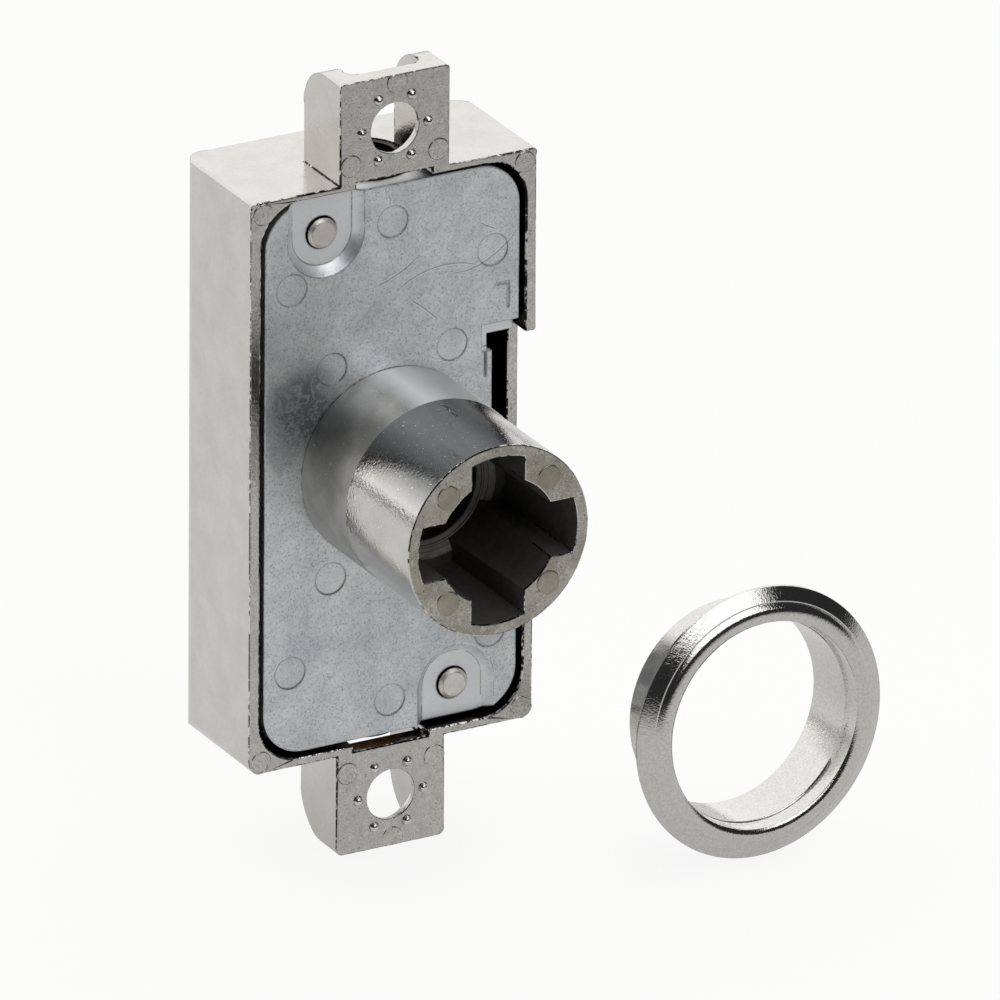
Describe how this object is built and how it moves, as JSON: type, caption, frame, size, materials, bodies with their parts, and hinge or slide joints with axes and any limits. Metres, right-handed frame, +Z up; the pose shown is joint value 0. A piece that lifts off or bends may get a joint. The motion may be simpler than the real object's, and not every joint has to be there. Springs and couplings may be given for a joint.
{
  "type": "espagnolette lock",
  "caption": "Surface-mounted espagnolette lock for a furniture door: a screw-eared case, a collar for a removable core, and a geared hub that turns the locking rod; rosette ring beside it.",
  "frame": {"origin": "middle between the two screw holes, on the plane of the case's front rim, where it meets the door: this is also the axis of the cylinder collar", "axes": "+Z up along the case and the locking rod, -Y out of the lock's front along the collar towards the door, +X to the right seen from the front, the side with the notch"},
  "size_m": [0.0547, 0.0324, 0.0736],
  "materials": {
    "plated_case": "satin nickel plate",
    "raw_zinc": "raw die-cast zinc",
    "plated_collar": "satin nickel plate",
    "driver_brass": "oiled brass",
    "gear_brass": "cut brass",
    "spring_steel": "hardened",
    "clip_steel": "blackened",
    "hub_brass": "turned brass",
    "plated_ring": "bright nickel plate"
  },
  "bodies": {
    "lock": {"case": "plated_case", "base_plate": "raw_zinc", "cylinder_collar": "plated_collar", "driver_circlip": "clip_steel", "rosette_ring": "plated_ring"},
    "driver": {"core_driver": "driver_brass", "crown_gear": "gear_brass", "spring_washer": "spring_steel"},
    "hub": {"rod_hub": "hub_brass"}
  },
  "joints": [
    {"name": "driver_turn", "type": "hinge", "parent": "lock", "child": "driver", "pos_m": [0, 0, 0], "axis": [0, -1, 0], "range_deg": [0, 120]},
    {"name": "hub_turn", "type": "hinge", "parent": "lock", "child": "hub", "pos_m": [0, 0.00593, 0], "axis": [0, 0, 1], "range_deg": [0, 180]}
  ],
  "couplings": [
    {"joint": "hub_turn", "follows": "driver_turn", "ratio": 1.5}
  ]
}
